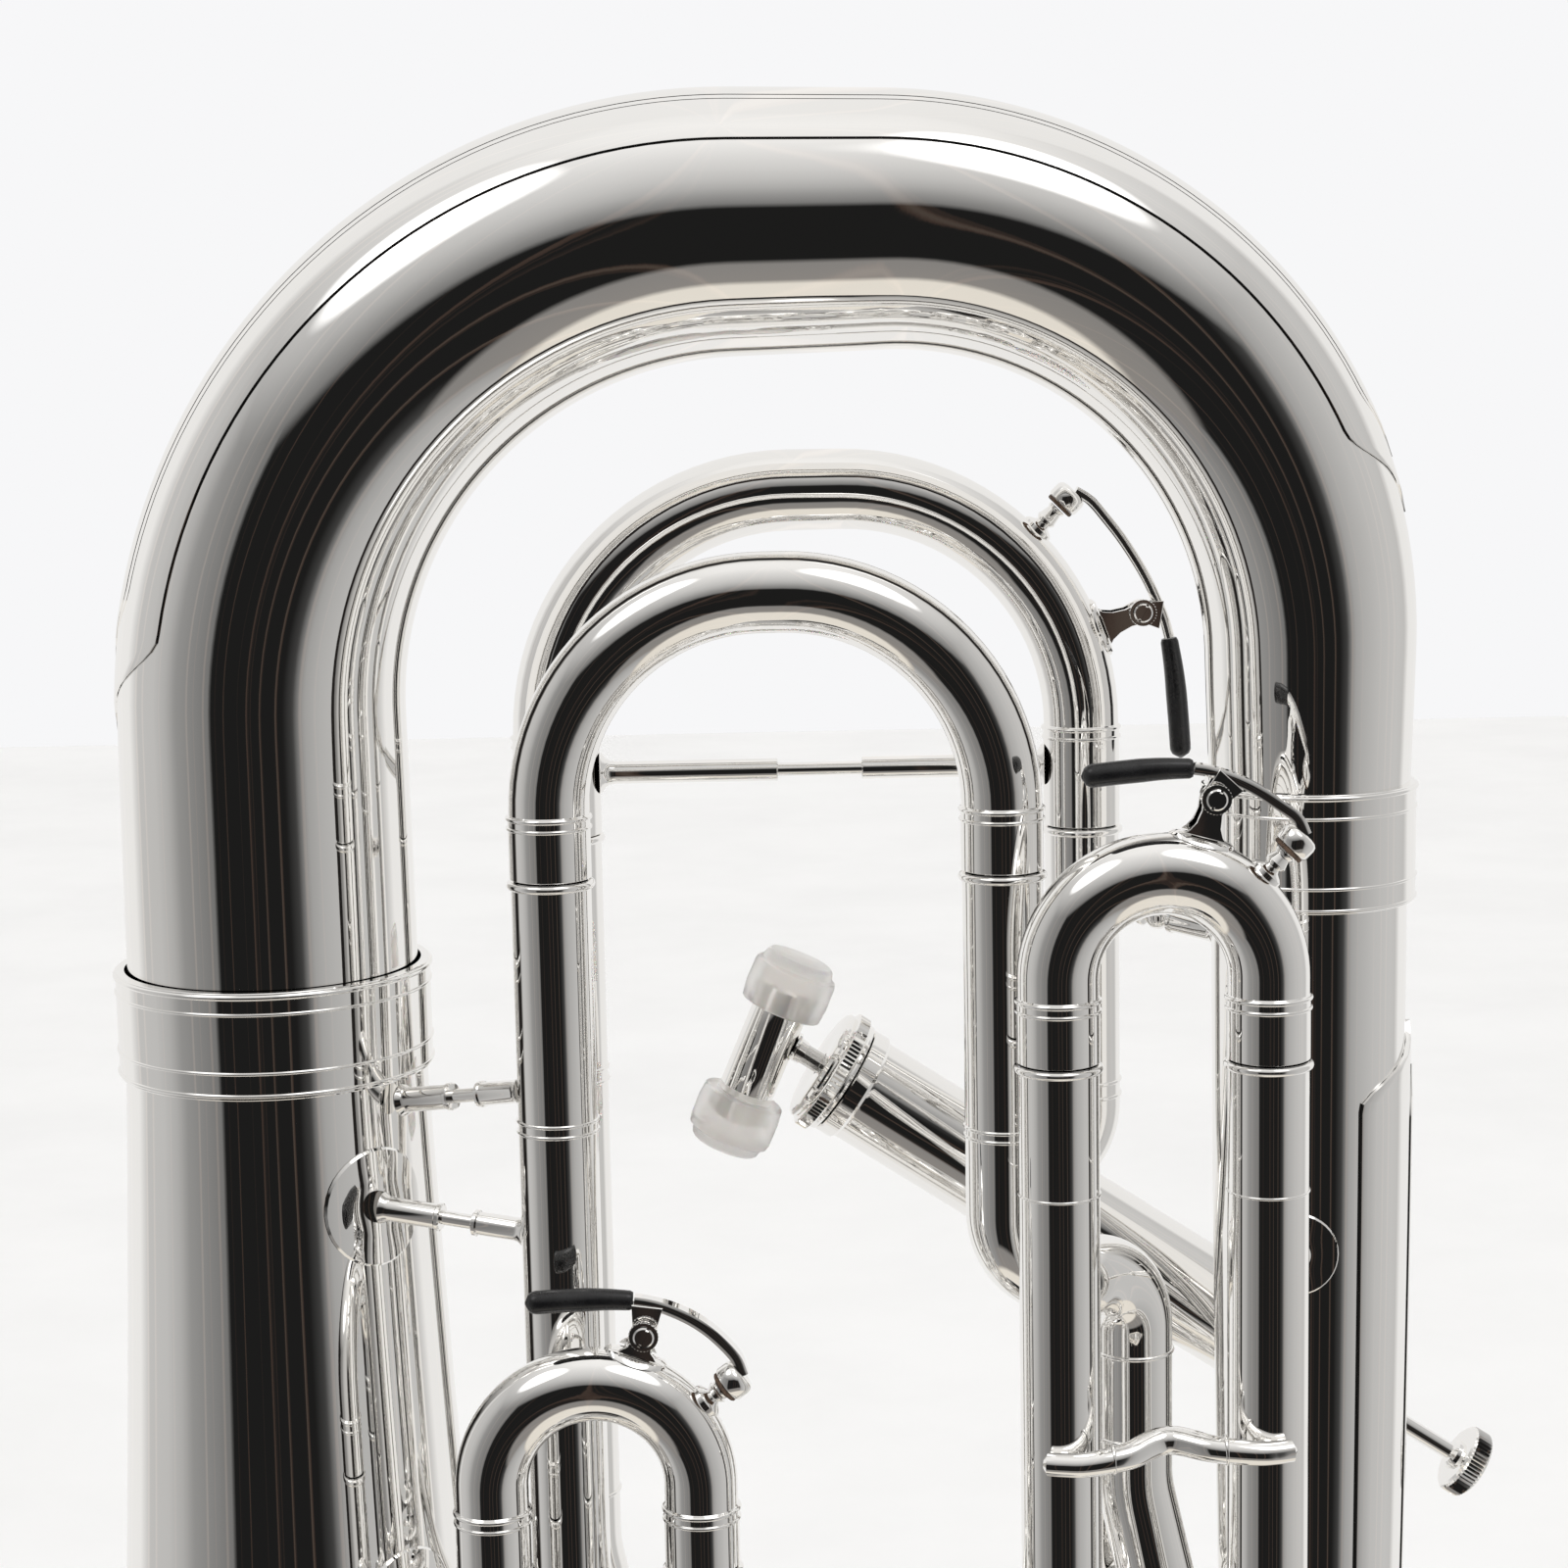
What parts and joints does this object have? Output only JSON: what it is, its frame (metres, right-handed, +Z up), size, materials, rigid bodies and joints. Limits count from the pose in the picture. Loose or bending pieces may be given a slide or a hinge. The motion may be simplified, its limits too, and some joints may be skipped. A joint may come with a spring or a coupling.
{
  "type": "tuba",
  "caption": "Silver-plated bass tuba standing upside down on its bell, with piston valves, tuning slides, water keys and a lever-shaped side valve.",
  "frame": {"origin": "centre of the footprint, on the plane of the bell rim that the instrument stands on", "axes": "+Z up along the bell axis, from the rim to the bottom bow; +X from the bell to the outer branch; -Y the front face with the first and third slides"},
  "size_m": [0.5885, 0.484, 0.9821],
  "materials": {
    "silver_plate": "mirror-bright silver plate over brass",
    "satin_silver": "satin nickel-silver",
    "black_rubber": "smooth black rubber sleeve",
    "frosted_plastic": "frosted off-white plastic",
    "spring_steel": "drawn spring wire",
    "pearl": "pearl disc"
  },
  "bodies": {
    "instrument": {"bell": "silver_plate", "bell_ferrule": "silver_plate", "bottom_bow": "silver_plate", "bow_guard": "silver_plate", "branch_ferrule": "silver_plate", "branch_guard": "silver_plate", "compensating_loop_1": "silver_plate", "compensating_loop_3": "silver_plate", "first_slide_outer_tubes": "silver_plate", "fourth_slide_link": "silver_plate", "fourth_slide_loop": "silver_plate", "inner_branch": "silver_plate", "leadpipe": "silver_plate", "lyre_socket": "silver_plate", "main_slide_outer_tube": "silver_plate", "mouthpiece_receiver": "silver_plate", "outer_branch": "silver_plate", "second_slide_outer_tubes": "silver_plate", "third_slide_outer_tubes": "silver_plate", "top_bow": "silver_plate", "valve_bottom_cap_1": "silver_plate", "valve_bottom_cap_2": "silver_plate", "valve_bottom_cap_3": "silver_plate", "valve_bottom_cap_4": "silver_plate", "valve_casing_1": "silver_plate", "valve_casing_2": "silver_plate", "valve_casing_3": "silver_plate", "valve_casing_4": "silver_plate", "valve_riser": "silver_plate", "valve_spring_1": "spring_steel", "valve_spring_2": "spring_steel", "valve_spring_3": "spring_steel", "valve_spring_4": "spring_steel", "valve_top_cap_1": "silver_plate", "valve_top_cap_2": "silver_plate", "valve_top_cap_3": "silver_plate", "valve_top_cap_4": "silver_plate"},
    "main_slide": {"main_slide_crook": "silver_plate", "main_slide_brace": "silver_plate"},
    "fourth_slide": {"fourth_slide_crook": "silver_plate"},
    "third_slide": {"third_slide_crook": "silver_plate"},
    "first_slide": {"first_slide_crook": "silver_plate"},
    "second_slide": {"second_slide_crook": "silver_plate"},
    "third_water_key": {"third_water_key_lever": "silver_plate", "third_water_key_grip": "black_rubber"},
    "first_water_key": {"first_water_key_lever": "silver_plate", "first_water_key_grip": "black_rubber"},
    "main_water_key": {"main_water_key_lever": "silver_plate", "main_water_key_grip": "black_rubber"},
    "valve_1_piston": {"valve_piston_1": "satin_silver", "finger_button_1": "pearl"},
    "valve_2_piston": {"valve_piston_2": "satin_silver", "finger_button_2": "pearl"},
    "valve_3_piston": {"valve_piston_3": "satin_silver", "finger_button_3": "pearl"},
    "valve_4_piston": {"valve_piston_4": "satin_silver", "finger_bar": "silver_plate", "finger_bar_cap_upper": "frosted_plastic", "finger_bar_cap_lower": "frosted_plastic"},
    "lyre_screw": {"lyre_thumb_screw": "silver_plate"}
  },
  "joints": [
    {"name": "main_slide_pull", "type": "slide", "parent": "instrument", "child": "main_slide", "axis": [0, 0, 1], "range_m": [0, 0.05]},
    {"name": "fourth_slide_pull", "type": "slide", "parent": "instrument", "child": "fourth_slide", "axis": [0, 0, 1], "range_m": [0, 0.055]},
    {"name": "third_slide_pull", "type": "slide", "parent": "instrument", "child": "third_slide", "axis": [0, 0, 1], "range_m": [0, 0.085]},
    {"name": "first_slide_pull", "type": "slide", "parent": "instrument", "child": "first_slide", "axis": [0, 0, 1], "range_m": [0, 0.036]},
    {"name": "second_slide_pull", "type": "slide", "parent": "instrument", "child": "second_slide", "axis": [0, 1, 0], "range_m": [0, 0.014]},
    {"name": "third_water_key_press", "type": "hinge", "parent": "third_slide", "child": "third_water_key", "pos_m": [0.1996, -0.075, 0.8008], "axis": [0, -1, 0], "range_deg": [0, 13], "stiffness_Nm_per_rad": 0.04, "springref_deg": -20.05},
    {"name": "first_water_key_press", "type": "hinge", "parent": "first_slide", "child": "first_water_key", "pos_m": [0.0544, -0.075, 0.666], "axis": [0, -1, 0], "range_deg": [0, 13], "stiffness_Nm_per_rad": 0.04, "springref_deg": -20.05},
    {"name": "main_water_key_press", "type": "hinge", "parent": "main_slide", "child": "main_water_key", "pos_m": [0.1953, 0.048, 0.8352], "axis": [0, 1, 0], "range_deg": [0, 12], "stiffness_Nm_per_rad": 0.04, "springref_deg": -20.05},
    {"name": "valve_1_press", "type": "slide", "parent": "instrument", "child": "valve_1_piston", "axis": [0, 0, 1], "range_m": [0, 0.016], "stiffness_N_per_m": 90, "springref_m": -0.02},
    {"name": "valve_2_press", "type": "slide", "parent": "instrument", "child": "valve_2_piston", "axis": [0, 0, 1], "range_m": [0, 0.016], "stiffness_N_per_m": 90, "springref_m": -0.02},
    {"name": "valve_3_press", "type": "slide", "parent": "instrument", "child": "valve_3_piston", "axis": [0, 0, 1], "range_m": [0, 0.016], "stiffness_N_per_m": 90, "springref_m": -0.02},
    {"name": "valve_4_release", "type": "slide", "parent": "instrument", "child": "valve_4_piston", "axis": [-0.8348, 0, 0.5505], "range_m": [0, 0.016]},
    {"name": "lyre_screw_turn", "type": "hinge", "parent": "instrument", "child": "lyre_screw", "pos_m": [0.2749, 0.048, 0.5909], "axis": [0.8348, 0, -0.5505], "continuous": true}
  ]
}
